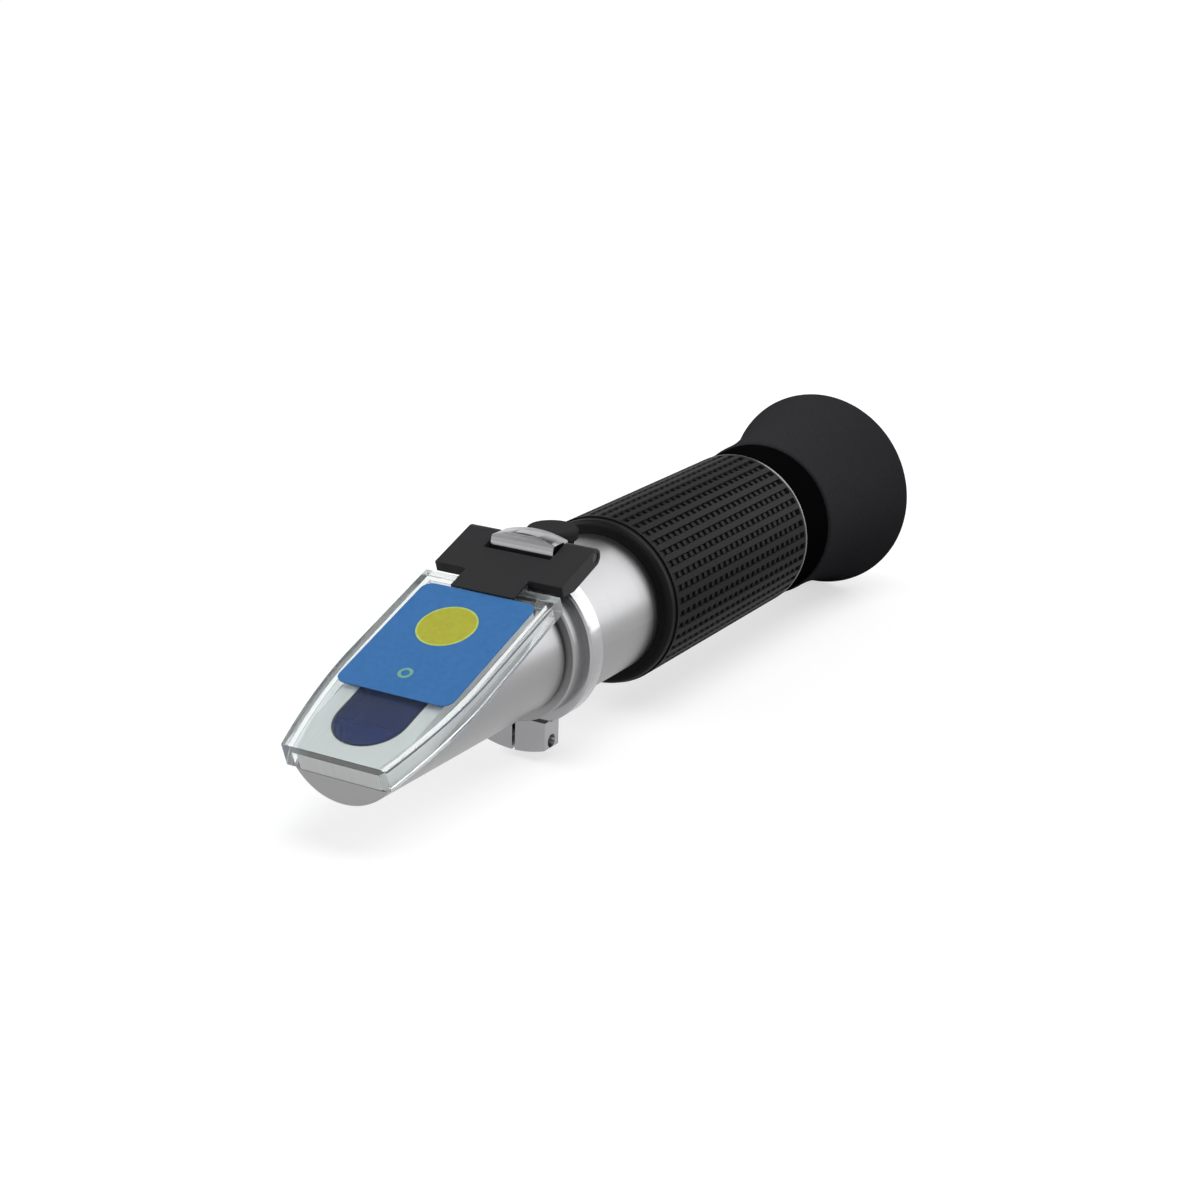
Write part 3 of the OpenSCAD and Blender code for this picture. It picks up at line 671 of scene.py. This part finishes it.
# Floor and background: plain white where they are seen, less bright as a light
def seen_directly(nodes, links):
    """1 for camera, glossy and transmission rays, which show the background, 0 for the rest."""
    rays = nodes.new("ShaderNodeLightPath")
    result = rays.outputs["Is Camera Ray"]
    for kind in ("Is Glossy Ray", "Is Transmission Ray"):
        result = worked_out(
            nodes, links, "ShaderNodeMath", "MAXIMUM", result, rays.outputs[kind]
        )
    return result


# The floor's glow, where it is seen directly, grows with the distance from the middle
FLOOR_COLOUR = 0.42
FLOOR_ROUGHNESS = 0.9
FLOOR_HALF = 12
GLOW_SPAN = (0.15, 0.6)
GLOW_NEAR = 0.62
GLOW_FAR = 0.93

floor_material, nodes, links, shader = new_material("pale_floor")
set_inputs(shader, {
    "Base Color": (FLOOR_COLOUR, FLOOR_COLOUR, FLOOR_COLOUR, 1),
    "Roughness": FLOOR_ROUGHNESS,
    "Specular IOR Level": 0.0,
})
place = nodes.new("ShaderNodeTexCoord").outputs["Object"]
reach = worked_out(nodes, links, "ShaderNodeVectorMath", "LENGTH", place)
strength = worked_out(
    nodes, links, "ShaderNodeMath", "MULTIPLY",
    seen_directly(nodes, links),
    spread_over(nodes, links, reach, GLOW_SPAN, GLOW_NEAR, GLOW_FAR),
)
glow = nodes.new("ShaderNodeEmission")
links.new(strength, glow.inputs["Strength"])
both = nodes.new("ShaderNodeAddShader")
links.new(shader.outputs["BSDF"], both.inputs[0])
links.new(glow.outputs["Emission"], both.inputs[1])
links.new(both.outputs["Shader"], nodes["Material Output"].inputs["Surface"])

floor_corners = [
    (x * FLOOR_HALF, y * FLOOR_HALF, 0) for x, y in ((-1, -1), (1, -1), (1, 1), (-1, 1))
]
floor_mesh = bpy.data.meshes.new("floor")
floor_mesh.from_pydata(floor_corners, [], [(0, 1, 2, 3)])
floor_mesh.materials.append(floor_material)
floor = bpy.data.objects.new("floor", floor_mesh)
bpy.context.scene.collection.objects.link(floor)

# The background that is seen fades from a white wall to a dark ceiling, by the sine of its height
WHITE = (1, 1, 1, 1)
ROOM_LIGHT = 0.2
WALL_LIGHT = 1.0
CEILING_LIGHT = 0.15
FADE_SPAN = (math.sin(math.radians(22)), math.sin(math.radians(42)))

world = bpy.data.worlds.new("studio")
world.use_nodes = True
bpy.context.scene.world = world
nodes = world.node_tree.nodes
links = world.node_tree.links
room = nodes["Background"]
set_inputs(room, {"Color": WHITE, "Strength": ROOM_LIGHT})
seen = nodes.new("ShaderNodeBackground")
seen.inputs["Color"].default_value = WHITE
place = nodes.new("ShaderNodeTexCoord").outputs["Generated"]
height = nodes.new("ShaderNodeSeparateXYZ")
links.new(place, height.inputs["Vector"])
fade = spread_over(nodes, links, height.outputs["Z"], FADE_SPAN, WALL_LIGHT, CEILING_LIGHT)
links.new(fade, seen.inputs["Strength"])
background = mixed(
    nodes, links,
    seen_directly(nodes, links), room.outputs["Background"], seen.outputs["Background"],
)
links.new(background, nodes["World Output"].inputs["Surface"])


# Square area lamps, aimed at the middle: place, size, power
MIDDLE = Vector((0, 0, AXIS_Z))
LAMPS = {
    "key": ((-0.65, -0.3, 0.4), 0.5, 4.5),
    "fill": ((0.6, -0.25, 0.3), 0.5, 0.15),
    "top": ((0.2, -0.1, 0.65), 0.45, 2.6),
    "back": ((0.3, 0.72, 0.42), 0.9, 5.4),
}
for name, (place, size, power) in LAMPS.items():
    light = bpy.data.lights.new(name, "AREA")
    light.size = size
    light.energy = power
    lamp = bpy.data.objects.new(name, light)
    lamp.location = place
    lamp.rotation_euler = (MIDDLE - Vector(place)).to_track_quat("-Z", "Y").to_euler()
    bpy.context.scene.collection.objects.link(lamp)


# Camera, from the view that fits the photograph's round edges
VIEW_TURN = math.radians(29.67)
VIEW_RISE = math.radians(18.41)
VIEW_ROLL = math.radians(1.73)
VIEW_DISTANCE = 387.83 * MM
VIEW_STATION = 80 * MM
VIEW_RIGHT = -2.51 * MM
VIEW_UP = -1.11 * MM
SENSOR_W = 36
FOCAL_LENGTH = 66.45
NEAREST = 10 * MM

back = Vector((
    math.sin(VIEW_TURN) * math.cos(VIEW_RISE),
    -math.cos(VIEW_TURN) * math.cos(VIEW_RISE),
    math.sin(VIEW_RISE),
))
level_right = Vector((math.cos(VIEW_TURN), math.sin(VIEW_TURN), 0))
level_up = back.cross(level_right)
right = level_right * math.cos(VIEW_ROLL) + level_up * math.sin(VIEW_ROLL)
up = level_up * math.cos(VIEW_ROLL) - level_right * math.sin(VIEW_ROLL)
target = Vector((0, NOSE_Y + VIEW_STATION, AXIS_Z))
place = target + back * VIEW_DISTANCE + right * VIEW_RIGHT + up * VIEW_UP
turn = Matrix((right, up, back)).transposed().to_4x4()

camera_data = bpy.data.cameras.new("camera")
camera_data.sensor_width = SENSOR_W
camera_data.lens = FOCAL_LENGTH
camera_data.clip_start = NEAREST
camera = bpy.data.objects.new("camera", camera_data)
camera.matrix_world = Matrix.Translation(place) @ turn
bpy.context.scene.collection.objects.link(camera)
bpy.context.scene.camera = camera
bpy.context.scene.view_settings.view_transform = "Standard"
